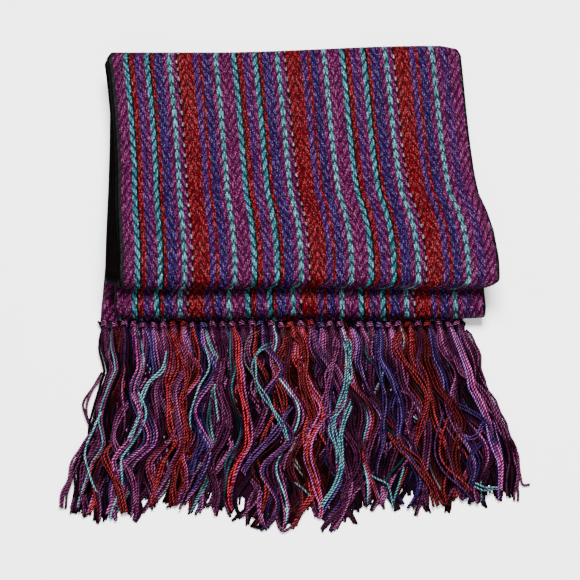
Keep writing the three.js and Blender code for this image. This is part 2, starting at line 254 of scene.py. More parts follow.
# %% [markdown]
# ## Cloth as a mesh
# A stretch of cloth is a surface of two parameters: across it, counted in warp ends, and along it,
# counted in picks. Each ring of the mesh goes across the face with two columns to an end, round the
# selvedge, and back across the reverse with a few columns, so the shell is closed and has its real
# thickness. Floats, three picks long, stand up a little: so the diagonal ribs catch the light.


# %% Rows, rings and attributes
def rows_along(path, spacing):
    """Points along a dense path, as far apart as spacing asks for at each place: the path's steps are
    divided by it, summed, and read off at even numbers."""
    step = np.hypot(*np.diff(path, axis=0).T)
    length = np.concatenate([[0], np.cumsum(step)])
    wanted = spacing(path[:, 0], path[:, 1])
    count = np.concatenate([[0], np.cumsum(step / ((wanted[1:] + wanted[:-1]) / 2))])
    at = np.linspace(0, count[-1], int(round(count[-1])) + 1)
    s = np.interp(at, count, length)
    return np.column_stack([np.interp(s, length, path[:, 0]), np.interp(s, length, path[:, 1])]), s


def float_height(distance):
    """How high a warp float stands at a distance, in picks, from where it dips under the weft."""
    return smooth(0.2, 1.25, distance)


def dip_distance(picks, lift):
    """Distance from the middle of the dip, in picks, in a cycle of four: 0 in the dip, 2 on the float."""
    cycle = (picks + lift) % 4.0
    away = np.abs(cycle - 0.5)
    return np.minimum(away, 4.0 - away)


def sheath(index):
    """Four-cornered faces between rings of points. index holds the points' numbers: its last axis goes
    round a ring, and the one before it from ring to ring."""
    after = np.roll(index, -1, axis=-1)
    corners = [index[..., :-1, :], after[..., :-1, :], after[..., 1:, :], index[..., 1:, :]]
    return np.stack(corners, axis=-1).reshape(-1, 4)


def put_mesh(name, points, quads, caps):
    """A mesh object from arrays of points in millimetres of the layout, arrays of four-cornered faces,
    and a few many-cornered ones. Its faces are turned outwards by the sign of its volume."""
    points = (np.concatenate(points) + LAYOUT_TO_FRAME) * MM
    quads = np.concatenate(quads)
    a, b, c, d = (points[quads[:, i]] for i in range(4))
    volume = (np.cross(a, b) * c).sum() + (np.cross(a, c) * d).sum()
    corners = np.concatenate([quads.ravel(), *caps])
    sizes = np.concatenate([np.full(len(quads), 4), [len(cap) for cap in caps]]).astype(int)
    starts = np.concatenate([[0], np.cumsum(sizes)[:-1]]).astype(int)
    mesh = bpy.data.meshes.new(name)
    mesh.vertices.add(len(points))
    mesh.vertices.foreach_set("co", points.astype(np.float32).ravel())
    mesh.loops.add(len(corners))
    mesh.loops.foreach_set("vertex_index", corners.astype(np.int32))
    mesh.polygons.add(len(sizes))
    mesh.polygons.foreach_set("loop_start", starts.astype(np.int32))
    mesh.polygons.foreach_set("use_smooth", np.ones(len(sizes), bool))
    mesh.update(calc_edges=True)
    if volume < 0:
        mesh.flip_normals()
    piece = bpy.data.objects.new(name, mesh)
    bpy.context.collection.objects.link(piece)
    return piece


def give_map(piece, across, along):
    """The piece's own map: across and along are one value for each point, read at every face corner."""
    corner = np.empty(len(piece.data.loops), np.int32)
    piece.data.loops.foreach_get("vertex_index", corner)
    places = np.column_stack([across, along])[corner]
    piece.data.uv_layers.new(name="weave").data.foreach_set("uv", places.astype(np.float32).ravel())


def give_faces(piece, name, values):
    """One number, or one colour, for each face, kept under a name for the material to read."""
    kind = "FLOAT_COLOR" if values.ndim == 2 else "FLOAT"
    data = piece.data.attributes.new(name, kind, "FACE").data
    if values.ndim == 2:
        values = np.column_stack([values, np.ones(len(values))])
    data.foreach_set("color" if values.ndim == 2 else "value", values.astype(np.float32).ravel())


print("a float stands", [round(float(float_height(d)), 2) for d in (0, 0.5, 1, 2)], "high from its dip on")


# %% A stretch of cloth
RAISED = 0.15  # how far a float stands out of the wall's face
BULGE = 0.13  # how far it spreads over the dip beside it
GROOVE = 0.35  # what is left of its height where it meets the next end
BACK_COLUMNS = 27
REVERSE_DARK = 0.96  # how much of the yarns' colour the black weft hides on the reverse
ROUNDED = 0.45  # how far a selvedge rounds out, as a share of the wall


def edges_at(name, y):
    """Left and right selvedge of a layer at depth y."""
    return read(EDGES[name], y), read(EDGES[name], y, 2)


def level_ground(x, *rest):
    """No relief, and no wander."""
    return np.zeros_like(x)


def in_line(y, z):
    """Selvedges where the table puts them."""
    return np.zeros_like(y), np.zeros_like(y)


def ring_of(path, spacing, edges, columns=ENDS, first_pick=0.0, relief=level_ground,
            wander=level_ground, skew=in_line, wall=WALL):
    """The ring of points across each row: the face, the right selvedge, the reverse, the left one. The
    picks are counted along the path, and are beaten a little closer where the stack's front is. The line
    between two ends is pushed towards the one that dips, by the float of the other."""
    rows, s = rows_along(path, spacing)
    fine = np.linspace(0, ENDS, columns + 1)
    left, right = edges_at(edges, rows[:, 0])
    aside, tuck = skew(rows[:, 0], rows[:, 1])
    left, right = left + aside, right + aside - tuck
    x = left[:, None] + (right - left)[:, None] * fine / ENDS
    y = np.repeat(rows[:, :1], columns + 1, axis=1)
    z = np.repeat(rows[:, 1:], columns + 1, axis=1) + relief(x, y, rows[:, 1:])
    middle = np.dstack([x, y + wander(x, y), z])
    across = np.gradient(middle, axis=1)
    along = np.gradient(middle, axis=0)
    normal, outwards = unit(np.cross(across, along)), unit(across)
    closer = 1 + 0.17 * np.exp(-(((rows[:, 0] - 2) / 14) ** 2))
    picks = first_pick + np.cumsum(np.gradient(s) * closer) / PICK

    def floats(end):
        """How high the float of an end stands in each row."""
        end = np.clip(end.astype(int), 0, ENDS - 1)
        return float_height(dip_distance(picks[:, None], END_LIFT[end]))

    lift = floats(fine)
    bulge = floats(np.ceil(fine) - 1) - lift
    groove = np.where(np.abs(fine - np.round(fine)) < 0.25, GROOVE, 1.0)
    face = middle + normal * (wall / 2 + RAISED * (lift * groove - 0.6))[..., None]
    face += outwards * (BULGE * bulge)[..., None]
    behind = np.linspace(columns, 0, BACK_COLUMNS).astype(int)
    back = middle[:, behind] - normal[:, behind] * wall / 2
    right_edge = middle[:, -1:] + outwards[:, -1:] * wall * ROUNDED
    left_edge = middle[:, :1] - outwards[:, :1] * wall * ROUNDED
    ring = np.concatenate([face, right_edge, back, left_edge], axis=1)
    u = np.concatenate([fine, [ENDS + 0.4], fine[behind], [-0.4]])
    is_back = np.concatenate([np.zeros(columns + 1), [0.5], np.ones(BACK_COLUMNS), [0.5]])
    return ring, u, is_back, picks


def cloth(name, parts, inside_out=0, no_border=0):
    """One piece out of one or more stretches; each part holds what ring_of takes. A ring is joined to
    the next by four-cornered faces, and the two ends are closed. The first ends of the border can look
    like the one after them, and the cloth can be turned inside out."""
    points, quads, caps, places, looks = [], [], [], [], []
    first = 0
    for part in parts:
        ring, u, is_back, picks = ring_of(**part)
        rows, size = ring.shape[:2]
        index = np.arange(rows * size).reshape(rows, size) + first
        first += rows * size
        points.append(ring.reshape(-1, 3))
        quads.append(sheath(index))
        caps += [index[0][::-1], index[-1]]
        places.append(np.column_stack([np.tile(u, rows), np.repeat(picks, size)]))
        middle_u = (u + np.roll(u, -1)) / 2
        end = np.clip(np.floor(middle_u).astype(int), 0, ENDS - 1)
        shown = np.maximum(end, no_border)
        side = np.round(np.maximum(is_back, np.roll(is_back, -1)) + inside_out + 0.01).clip(0, 1)
        colour = END_COLOUR[shown] * (1 - REVERSE_DARK * side[:, None])
        reverse = np.maximum(side, (middle_u < SELVEDGE) & (shown < SELVEDGE))
        look = np.column_stack([colour, END_LIFT[end], END_DIP[shown], reverse])
        looks.append(np.tile(look, (rows - 1, 1)))
    looks.append(np.tile([*END_COLOUR[0], 0, 0, 1], (len(caps), 1)))
    look = np.concatenate(looks)
    piece = put_mesh(name, points, quads, caps)
    give_map(piece, *np.concatenate(places).T)
    for kept, columns in dict(yarn=slice(3), lift=3, dip=4, reverse=5).items():
        give_faces(piece, kept, look[:, columns])
    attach(piece, "root")
    print(name, "has", 2 * sum(len(q) for q in quads), "triangles")
    return piece


def wander(x, y):
    """How a front fold's line strays from straight: a slow sine that dies out behind the fold."""
    return 0.6 * np.sin((x + 24) / 21) * (1 - smooth(0, 60, y))


def top_wander(x, y):
    """The same, and the back fold is not square: it lies further forward at the left, and turns in at
    its right corner."""
    back_line = 4.6 * smooth(-45, 80, x) - 3.4 - 2.2 * smooth(86, 98, x)
    return wander(x, y) + back_line * smooth(128, 147, y)


# %% [markdown]
# ## The top stretch
# Most of what is seen: the top panel, the rounded front fold it turns down into, and the small tight
# fold at the back. It swells over the springy stack, droops at the right where nothing lies under it,
# and has a few shallow dents from the folding.

# %% The top stretch
DENTS = [  # x, y, half length across, half length along, turn in degrees, depth, all in millimetres
    (-52, 24, 34, 7, 8, 0.55),
    (38, 30, 46, 8, -6, 0.6),
    (84, 52, 22, 9, 30, 0.8),
    (-20, 62, 60, 12, 4, 0.45),
    (60, 92, 48, 10, -9, 0.5),
    (-66, 100, 30, 12, 14, 0.5),
    (-8, 122, 66, 9, 3, 0.4),
]


def top_relief(x, y, z):
    """Swell and droop of the top panel, less a bell-shaped dent for each row of the table, and a dome
    across the width. It works on the upper run only: the share is 1 over the folds' axis height."""
    inside = smooth(4, 30, y) * (1 - smooth(125, 145, y))
    swell = 0.5 * (1 + np.sin(x / 17 + y / 31)) * inside
    droop = 2.6 * smooth(99.5, 112, x) * smooth(6, 30, y)
    dome = 1.6 * (1 - np.abs((x - 5) / 104) ** 3).clip(0, 1) * inside
    dents = np.zeros_like(x)
    for cx, cy, long, short, turn, depth in DENTS:
        c, s = math.cos(math.radians(turn)), math.sin(math.radians(turn))
        across, along = (x - cx) * c + (y - cy) * s, (y - cy) * c - (x - cx) * s
        dents += depth * np.exp(-((across / long) ** 2) - (along / short) ** 2)
    upper = smooth(-5.5, -1.0, z - level("top", y))
    return (swell - droop + dome - dents * inside) * upper


def top_skew(y, z):
    """How the selvedges of the top stretch shift where it goes under itself: the ply under the back
    fold has slid aside to the left, and the one under the front fold is tucked in at the right."""
    below = level("top", y) - z
    aside = -1.8 * smooth(1.5, 4.4, below) * smooth(115, 125, y)
    tuck = 11 * smooth(2.5, 11, below) * (1 - smooth(60, 100, y))
    return aside, tuck


top_path = np.concatenate([
    run("between", UPPER_DEPTH_Y, TOP_FRONT["y"], ON)[:-1],
    half_turn(TOP_FRONT, -1, -1),
    run("top", TOP_FRONT["y"], 143, -WALL / 2)[1:],
    half_turn(TOP_BACK, 1, 1),
    run("top_inner_middle", 143, BACK_RETURN_Y, ON),
])


def top_rows(y, z):
    """Fine rows where the cloth shows, coarse ones where it lies inside the stack."""
    hidden = (z < level("top", y) - 3) & (y > 3) & (y < 146)
    return np.where(hidden, 4.0, 1.08)


top_cloth = cloth("top_cloth", [dict(
    path=top_path, spacing=top_rows, edges="top", columns=2 * ENDS, relief=top_relief,
    wander=top_wander, skew=top_skew,
)])
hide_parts("top_stretch")

# %% [markdown]
# ## The lower fold and the layers at the back
# Under the top fold a second one peeps out. It is the same cloth, so it is the same call with another
# path. The fold in the middle of the back and the stretch that lies on the table are made alike, with one
# column to an end, because less of them is seen.

# %% The lower fold, the fringed end, the stretch on the table and the back fold
LOWER_UNDER_Z = LOWER_FRONT["z"] - LOWER_FRONT["radius"] + WALL / 2


def lower_relief(x, y, z):
    """Slow uneven swells on the front of the lower fold, at most half a millimetre."""
    front = 1 - smooth(-6, 6, y)
    return front * (0.35 * np.sin(x / 9.5 + 1.2) + 0.25 * np.sin(x / 4.1 + 0.4))


lower_path = joined(
    flat_run(LOWER_UNDER_Z, LOWER_DEPTH_Y, LOWER_FRONT["y"]),
    half_turn(LOWER_FRONT, -1, -1),
    run("between", LOWER_FRONT["y"], LOWER_DEPTH_Y, UNDER),
)
lower_cloth = cloth("lower_cloth", [dict(
    path=lower_path, spacing=lambda y, z: np.where(y < 0, 1.0, 4.0), edges="lower",
    columns=2 * ENDS, first_pick=61.5, relief=lower_relief, wander=wander,
)], no_border=SELVEDGE)
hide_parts("lower_fold")


def curled_corner(x, y, z):
    """The fringed end's left corner stands up in a small roll beside the lower fold."""
    return 4.5 * np.exp(-(((x + 99.5) / 2.6) ** 2)) * np.exp(-(((y + 6) / 7) ** 2))


upper_end_path = flat_run(UPPER_END_Z, CLOTH_END_Y, LOWER_DEPTH_Y)
upper_end_cloth = cloth("upper_end_cloth", [dict(
    path=upper_end_path, spacing=lambda y, z: np.where(y < 6, 1.2, 4.0), edges="upper_end",
    columns=2 * ENDS, first_pick=20.0, relief=curled_corner,
)], no_border=SELVEDGE)
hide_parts("upper_fringed_end")

under_path = np.concatenate([
    flat_run(WALL / 2, CLOTH_END_Y, BOTTOM_BACK["y"])[:-1],
    half_turn(BOTTOM_BACK, 1, -1),
    run("lower_inner_middle", 143, BACK_RETURN_Y, UNDER),
])[::-1]
under_cloth = cloth("under_cloth", [dict(
    path=under_path, spacing=lambda y, z: np.where(y > 147, 0.9, 3.0), edges="under",
)])
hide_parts("under_stretch")

back_path = np.concatenate([
    run("top_inner_middle", BACK_RETURN_Y, 143, UNDER),
    half_turn(MIDDLE_BACK, 1, 1),
    run("lower_inner_middle", 143, BACK_RETURN_Y, ON),
])
back_cloth = cloth("back_cloth", [dict(
    path=back_path, spacing=lambda y, z: np.where(y > 145, 0.9, 3.0), edges="middle_back",
)])
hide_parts("middle_back_fold")

# %% [markdown]
# ## The layers inside
# Four more folded plies lie inside the stack. Only their edges show: at the left one of them reaches
# past the top panel and shows its dark reverse. Each is a shell on a path of its own, and together they
# are one piece that stands for the solid of hidden layers.

# %% The inner plies
NOSE = 1.2  # a ply inside a front fold stays this far behind it
INNER_COLUMNS = 78
INNER_SPACING = 2.2
INNER_WALL = 1.35
INSIDE = [  # (selvedges, path), from the table up
    ("upper_end", joined(  # between the fringed end and the lower fold
        flat_run(UPPER_END_Z, LOWER_DEPTH_Y + 1, BOTTOM_BACK["y"]),
        half_turn(BOTTOM_BACK, 1, -1, PITCH),
        run("lower_inner_under", BOTTOM_BACK["y"], LOWER_DEPTH_Y + 1, -INNER),
    )),
    ("lower_inner", joined(  # inside the lower fold
        run("lower_inner_under", BACK_RETURN_Y - 1, LOWER_FRONT["y"] + NOSE, INNER),
        half_turn(LOWER_FRONT, -1, -1, PITCH) + (NOSE, 0),
        run("lower_over", LOWER_FRONT["y"] + NOSE, BACK_RETURN_Y - 1, -INNER),
    )),
    ("between", joined(  # between the two front folds
        run("lower_over", LOWER_DEPTH_Y + 1, MIDDLE_BACK["y"], INNER),
        half_turn(MIDDLE_BACK, 1, -1, PITCH),
        run("top_inner_under", MIDDLE_BACK["y"], UPPER_DEPTH_Y + 1, -INNER),
    )),
    ("top_inner", joined(  # inside the top fold
        run("top_inner_under", BACK_RETURN_Y - 1, TOP_FRONT["y"] + NOSE, INNER),
        half_turn(TOP_FRONT, -1, -1, PITCH) + (NOSE, 0),
        run("top_under", TOP_FRONT["y"] + NOSE, BACK_RETURN_Y - 1, -INNER),
    )),
]
inner_cloth = cloth("inner_cloth", [dict(
    path=path[::-1], spacing=lambda y, z: np.full_like(y, INNER_SPACING), edges=edges,
    columns=INNER_COLUMNS, wall=INNER_WALL,
) for edges, path in INSIDE], inside_out=1)
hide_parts("hidden_layers")

# %% [markdown]
# ## The fringe
# Every warp end runs on past the last weft. Six or seven are tied into a bunch with a small wrapped
# knot, and the bunches lie combed out in loose waves. The yarns could be curves, but a mesh made as one
# array is quicker and keeps each yarn's colour: a centre line, and a ring of a few points round every
# point of it. Bunches wave together, spread as they go, and gather at their tips.

# %% Yarns as tubes
UP = (0.0, 0.0, 1.0)
CUT_END = 0.6  # the lightness of a yarn's cut end


def tubes(lines, radius, sides, guide, first=0):
    """Points, faces and caps of many tubes at once. lines is (tube, step, 3), radius one number or one
    for each tube, and first the first point's number. A ring stands square to its line, on two
    directions got by crossing the line's own with a guide."""
    along = unit(np.gradient(lines, axis=1))
    sideways = unit(np.cross(along, guide))
    upwards = np.cross(sideways, along)
    turn = np.arange(sides) * 2 * math.pi / sides
    ring = sideways[:, :, None] * np.cos(turn)[:, None] + upwards[:, :, None] * np.sin(turn)[:, None]
    tube, step = lines.shape[:2]
    points = lines[:, :, None] + ring * np.broadcast_to(radius, (tube, step))[..., None, None]
    index = np.arange(tube * step * sides).reshape(tube, step, sides) + first
    caps = [cap for rings in index for cap in (rings[0][::-1], rings[-1])]
    return points.reshape(-1, 3), sheath(index), caps


def put_yarns(name, groups):
    """One piece out of several groups of tubes: (lines, radius, sides, guide, colours). The map's
    numbers are the share of the way round a yarn and the distance along it, which is stretched a little
    and shifted for each yarn, so that their twists don't line up."""
    points, quads, caps, around, way, faces, cap_faces = [], [], [], [], [], [], []
    first = 0
    for lines, radius, sides, guide, colour in groups:
        skin, skin_faces, ends = tubes(lines, radius, sides, guide, first)
        first += len(skin)
        points.append(skin)
        quads.append(skin_faces)
        caps += ends
        around.append(np.tile(np.arange(sides) / sides, len(skin) // sides))
        gaps = np.linalg.norm(np.diff(lines, axis=1), axis=2)
        length = np.pad(np.cumsum(gaps, axis=1), ((0, 0), (1, 0)))
        dice = np.random.default_rng(len(points))
        twisted = length * dice.uniform(0.85, 1.2, (len(lines), 1)) + dice.uniform(0, 3, (len(lines), 1))
        way.append(np.repeat(twisted.ravel(), sides))
        if colour.ndim == 2:
            colour = np.repeat(colour[:, None], lines.shape[1], axis=1)
        faces.append(np.repeat(colour[:, :-1].reshape(-1, 3), sides, axis=0))
        cap_faces.append(colour[:, [0, -1]].reshape(-1, 3) * CUT_END)
    piece = put_mesh(name, points, quads, caps)
    give_map(piece, np.concatenate(around), np.concatenate(way))
    give_faces(piece, "yarn", np.concatenate(faces + cap_faces))
    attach(piece, "root")
    triangles = 2 * sum(len(q) for q in quads)
    print(name, "has", sum(len(group[0]) for group in groups), "yarns and", triangles, "triangles")
    return piece


skin, skin_faces, ends = tubes(np.array([[(0, 0, 0), (0, 1, 0), (0, 2, 0)]], float), 0.7, 6, UP)
print("a yarn of 3 steps has", len(skin), "points,", len(skin_faces), "faces and", len(ends), "caps")

# %% The plan of the fringe
BUNCHES = 37
STRANDS = 2  # to a bunch
IN_STRAND = 3  # yarns side by side in a strand
STEPS = 40  # points along a yarn
SLOPE = 0.985  # how far forward a yarn gets for each millimetre of it
ANY_PHASE = (0, 6.28)
FRINGE_ENDS = ENDS - SELVEDGE - 2  # the borders' outermost ends have no yarn in the fringe
KNOT_TURNS = 3.1

SPREAD = [  # along, left, right: how far the fringe's sides have moved outwards
    (0, 0, 0), (18, -1.2, 5), (30, -5.5, 6.8), (41, -3, 7.7), (60, 1.5, 18.2), (73, 1.5, 20.8),
    (82, 6.5, 22.5), (95, 7.5, 21.5), (118, 14.5, 20),
]

# Where the yarns of a bunch are, as a share of their full spread, at a distance from the cloth.
GATHER = [(0, 0.95), (2, 0.7), (3.4, 0.36), (6, 0.36), (9, 0.7), (16, 0.9), (30, 1.0)]

# Combed out, the yarns have mixed: of these colours only a share of the ends shows, and the rest have
# sunk under magenta ones.
SHOWN = {"teal": 0.3, "pale_teal": 0.3, "red": 0.8, "blue": 0.6, "violet": 0.4, "black": 0.3}
LIGHTNESS = {"magenta": 0.9, "silver": 0.45, "red": 0.85, "teal": 0.65, "pale_teal": 0.75}


def fringe_name(end, name):
    """The colour that an end shows in the fringe; the golden ratio spreads the choice."""
    return name if end * 0.618 % 1 < SHOWN.get(name, 1) else "magenta"


FRINGE_NAME = [fringe_name(end, name) for end, name in enumerate(END_NAME)]
FRINGE_LIGHT = np.array([LIGHTNESS.get(name, 1.0) for name in FRINGE_NAME])
FRINGE_COLOUR = DEPTH * np.array([YARNS[name] for name in FRINGE_NAME]) * FRINGE_LIGHT[:, None]

# How far the tips reach at a place across: rows of (x, distance from the cloth).
TIPS = [
    (-117, 106), (-98, 113), (-84, 113), (-69, 103), (-60, 108), (-43, 107), (-25, 112), (-16, 117),
    (-2, 115), (10, 111), (28, 119), (37, 107), (54, 103), (66, 109), (82, 104), (97, 105), (118, 98),
]


def roots(edges, margin, share):
    """Where yarns leave the cloth, and the width they take up, with a margin at both selvedges."""
    left, right = edges_at(edges, CLOTH_END_Y)
    width = right - left - 2 * margin
    return left + margin + width * share, width


def spread_out(along, share):
    """How far a yarn has moved aside: a mix of how far the fringe's two sides have."""
    left, right = read(SPREAD, along), read(SPREAD, along, 2)
    return -left + (left + right) * share


def tips_at(root, share):
    """How far the tips reach: at the sides the yarns end up 13 mm left and 20 mm right of their roots."""
    return read(TIPS, root + np.interp(share, (0, 1), (-13, 20)))


print("ends in the fringe:", {name: FRINGE_NAME.count(name) for name in YARNS})


# %% Bunches, knots and the bed under them
def wave(along, size, length, phase):
    """A sideways swing: size times the sine of the way along, in turns of the wave's length."""
    return size * np.sin(2 * math.pi * along / length + phase)


def fringe_lines(edges, seed, root_z, bed, loft):
    """Centre lines of a fringe's yarns, with axes for bunch, strand, yarn and step. A bunch swings in
    long waves, and nearly together with its neighbours. Its strands sway about it, over and under each
    other. A strand is a ribbon of yarns side by side that slowly twists, so that it looks now broad,
    now narrow. bed is the height the fringe lies at, and loft how much higher its strands may rise.
    With the lines comes a colour for each point, with painted shade in it: the deeper a strand lies,
    the darker it is painted, and so are the outer yarns of a bunch by its knot and the first millimetres
    by the cloth. Strands and yarns also differ in tone at random."""
    dice = np.random.default_rng(seed)
    share = np.linspace(0, 1, BUNCHES).reshape(-1, 1, 1, 1)
    root, width = roots(edges, 1.8, share)
    pitch = width / (BUNCHES - 1)

    def each(low, high, axes):
        """A random value for each bunch (1 axis), strand (2) or yarn (3)."""
        return dice.uniform(low, high, (BUNCHES, STRANDS, IN_STRAND)[:axes] + (1,) * (4 - axes))

    reach = tips_at(root, share) + each(-3, 2, 1) + each(-4, 2, 2) + each(-1.5, 1.5, 3)
    along = np.linspace(0, 1, STEPS) * reach

    calm = 0.22 + 0.78 * smooth(0, 0.10, np.minimum(share, 1 - share))
    drift = np.cumsum(dice.normal(0, 0.8, BUNCHES)).reshape(-1, 1, 1, 1)
    middle = wave(along, each(2.2, 5.4, 1), each(38, 64, 1), drift + each(-0.5, 0.5, 1))
    middle *= smooth(3, 28, along)
    middle += wave(along, each(0.4, 2.4, 2), each(30, 64, 2), each(*ANY_PHASE, 2)) * smooth(8, 40, along)
    own = wave(along, each(0.05, 0.55, 3), each(16, 40, 3), each(*ANY_PHASE, 3))
    middle += own * smooth(14, 50, along)

    open_by = read(GATHER, along) * (1 - 0.5 * smooth(0.75, 1.0, along / reach))
    strand_seat = np.linspace(-0.5, 0.5, STRANDS).reshape(1, -1, 1, 1) * pitch * 0.75
    yarn_seat = (np.arange(IN_STRAND) - (IN_STRAND - 1) / 2).reshape(1, 1, -1, 1) * each(1.3, 1.9, 2)
    bundle = 1 - (np.abs(strand_seat + yarn_seat) / (0.9 * pitch)).clip(0, 1) ** 2
    twist = wave(along, each(0.1, 0.9, 2), each(36, 80, 2), each(*ANY_PHASE, 2)) * smooth(4, 20, along)
    x = root + spread_out(along, share) + middle * calm
    x += open_by * (strand_seat + yarn_seat * np.cos(twist))

    lane = each(0, 1, 2) * loft + wave(along, each(0.1, 0.8, 2), each(26, 60, 2), each(*ANY_PHASE, 2))
    lying = bed + lane.clip(0, loft + 0.6) + yarn_seat * np.sin(twist) * 0.8
    near = 1 - smooth(6, 30, along)
    z = root_z + (lying - root_z) * smooth(3, 24, along) + 1.3 * bundle * near * smooth(0, 4, along)
    # painted shade: darker the lower a strand lies; by the knot, darker at a bunch's outer yarns and in
    # the first few millimetres; then a random tone for each strand and yarn
    painted_depth_shade = 0.08 + 1.35 * smooth(bed, bed + loft + 0.4, lying) ** 1.2
    shade = (painted_depth_shade + (0.15 + 1.0 * bundle - painted_depth_shade) * near) * (0.35 + 0.65 * smooth(1.5, 4, along))
    shade = shade * each(0.35, 1.6, 2) * each(0.5, 1.5, 3)
    z = np.maximum(z - (bed + loft * 0.6 - 0.9) * smooth(80, 116, along), 0.85)
    y = CLOTH_END_Y - along * SLOPE
    lines = np.stack(np.broadcast_arrays(x, y, z), axis=-1).reshape(-1, STEPS, 3)
    in_bunch = STRANDS * IN_STRAND
    order = np.arange(BUNCHES * in_bunch) + dice.normal(0.5, 1.2, BUNCHES * in_bunch)
    end = (order / in_bunch * FRINGE_ENDS / BUNCHES).astype(int).clip(0, FRINGE_ENDS)
    colour = FRINGE_COLOUR[end + SELVEDGE][:, None] * (shade + 0 * x).reshape(-1, STEPS, 1)
    return lines, colour, root.ravel(), dice


def bed_lines(count=236):
    """Loose yarns side by side flat on the table, all swinging together, from one side of the fringe to
    the other. They are the ground that the ribbons lie on; lower_fringe paints them nearly black, as
    shade."""
    dice = np.random.default_rng(23)
    share = np.linspace(0, 1, count)[:, None]
    root, _ = roots("under", 1, share)
    along = np.linspace(0, 1, STEPS) * (tips_at(root, share) - 7 + dice.uniform(-5, 2.5, (count, 1)))
    x = root + spread_out(along, share) + wave(along, 1.2, 50, root / 30) * smooth(0, 30, along)
    z = np.full_like(x, 0.62) + dice.uniform(-0.08, 0.08, (count, 1))
    end = (np.arange(count) / count * FRINGE_ENDS).astype(int) + SELVEDGE
    return np.stack([x, CLOTH_END_Y - along * SLOPE, z], axis=-1), FRINGE_COLOUR[end]


def knot_lines(root, dice, root_z):
    """A short coil for each knot: three turns of a yarn wound round the bunch, thickest in the middle.
    With the coils come the directions straight out of them."""
    turn = np.linspace(0, KNOT_TURNS * 2 * math.pi, 38)
    lean = dice.uniform(-0.3, 0.3, (BUNCHES, 1))
    size = dice.uniform(1.1, 1.5, (BUNCHES, 1)) * (0.72 + 0.28 * np.sin(turn / turn[-1] * math.pi))
    out = np.stack(np.broadcast_arrays(np.cos(turn), 0 * size, np.sin(turn)), axis=-1)
    start = CLOTH_END_Y - 0.5 + dice.uniform(-1.3, 0.4, (BUNCHES, 1))
    axis = np.broadcast_arrays(root[:, None] + lean * turn / 5, start - 0.17 * turn, root_z + 1.7)
    return np.stack(axis, axis=-1) + out * size[..., None], out


print(BUNCHES * STRANDS * IN_STRAND, "yarns in the bunches of a fringe")

# %% Strays
# Yarns that have strayed, as they lie. A row has the colour, how many yarns lie side by side, their
# height, and points of x,distance.
STRAYS = """
pale_teal 2 5.0  -66,14 -66,22 -67,28 -74,33 -78,40 -79,51 -80,58 -84,66 -85,74
teal 2 5.4  -8,11 -18,17 -20,26 -18,35 -12,46 -7,53 -3,62 0,71
pale_teal 1 5.6  -47,10 -44,17 -43,27 -48,38 -49,42 -52,48 -53,54 -51,63
pale_teal 1 5.2  -39,31 -40,39 -39,48 -37,58
magenta 2 5.0  -36,17 -36,25 -38,33 -38,40 -35,47 -33,56 -32,65
silver 1 5.4  -17,4 -22,9 -25,15 -24,23 -20,31 -17,40
red 3 5.2  -62,3 -62,11 -57,20 -54,30 -55,37 -57,44 -56,53 -53,64 -54,74
red 4 5.6  2,3 7,12 8,21 6,30 8,41 12,51 15,60
red 3 5.0  -2,3 -2,13 -7,22 -9,31 -4,40 -3,49 -2,58
teal 3 5.2  29,7 32,16 31,30 29,43 24,52 21,62 25,72 27,79 24,89
magenta 3 4.8  25,5 25,16 21,29 19,43 17,56 15,67
teal 2 5.0  33,44 29,55 26,66 27,76 26,86 21,96 15,104
blue 2 5.0  46,4 46,16 47,29 50,40 50,51 48,61 49,71
red 3 5.2  61,4 55,13 60,22 69,33 74,45 69,57 65,71
red 4 5.0  53,62 57,71 66,80 72,91 76,102
magenta 2 4.8  58,38 65,43 66,48 63,55 60,64
violet 1 5.4  81,51 76,65 75,77 79,86 87,92 94,100
red 1 5.2  84,52 79,65 77,76 82,84 89,90 96,96
blue 2 5.4  87,46 93,50 102,56 106,66 109,77 108,87
violet 2 5.0  88,54 88,62 93,67 98,65 101,58 106,56
blue 2 4.8  94,89 92,80 96,72 102,67 107,72 109,79
pale_teal 2 5.6  95,91 100,94 104,93 108,93
magenta 2 3.0  95,3 102,15 101,30 108,44 114,61 118,75 118,88 116,99
magenta 3 4.6  88,16 90,28 100,37 105,47 110,58 114,70
magenta 2 4.0  -97,4 -98,17 -95,28 -99,41 -101,50 -102,58
magenta 3 3.0  -100,55 -105,67 -111,75 -113,85 -116,95 -117,103
magenta 3 3.2  -98,58 -100,70 -107,79 -107,89 -106,99 -104,107
magenta 3 4.6  -85,45 -91,56 -93,67 -86,79 -80,91 -80,102
red 3 4.8  -93,67 -97,76 -92,86 -87,95 -85,106
pale_teal 1 5.2  -96,47 -102,58 -105,67 -107,78 -102,89 -99,96
red 3 4.8  -60,45 -55,58 -54,71 -59,81 -60,92 -60,102
violet 3 5.2  0,47 -3,56 -7,63 -14,71 -19,77 -24,83
magenta 1 5.6  33,43 24,51 15,59 5,63 3,67
teal 1 5.2  40,84 44,88 50,91 52,98 53,103
pale_teal 1 5.4  2,89 5,92 8,95 11,98
magenta 1 2.0  -7,104 -6,112 -4,116 0,114 5,107
magenta 1 5.6  -36,43 -35,56 -38,67 -44,78 -50,88 -54,98 -57,104
magenta 1 2.0  116,66 119,75 119,85 120,91 124,90
blue 3 4.8  -50,50 -47,59 -46,68 -49,77 -52,86
magenta 2 2.4  -100,28 -105,37 -109,46 -107,55 -101,63
"""


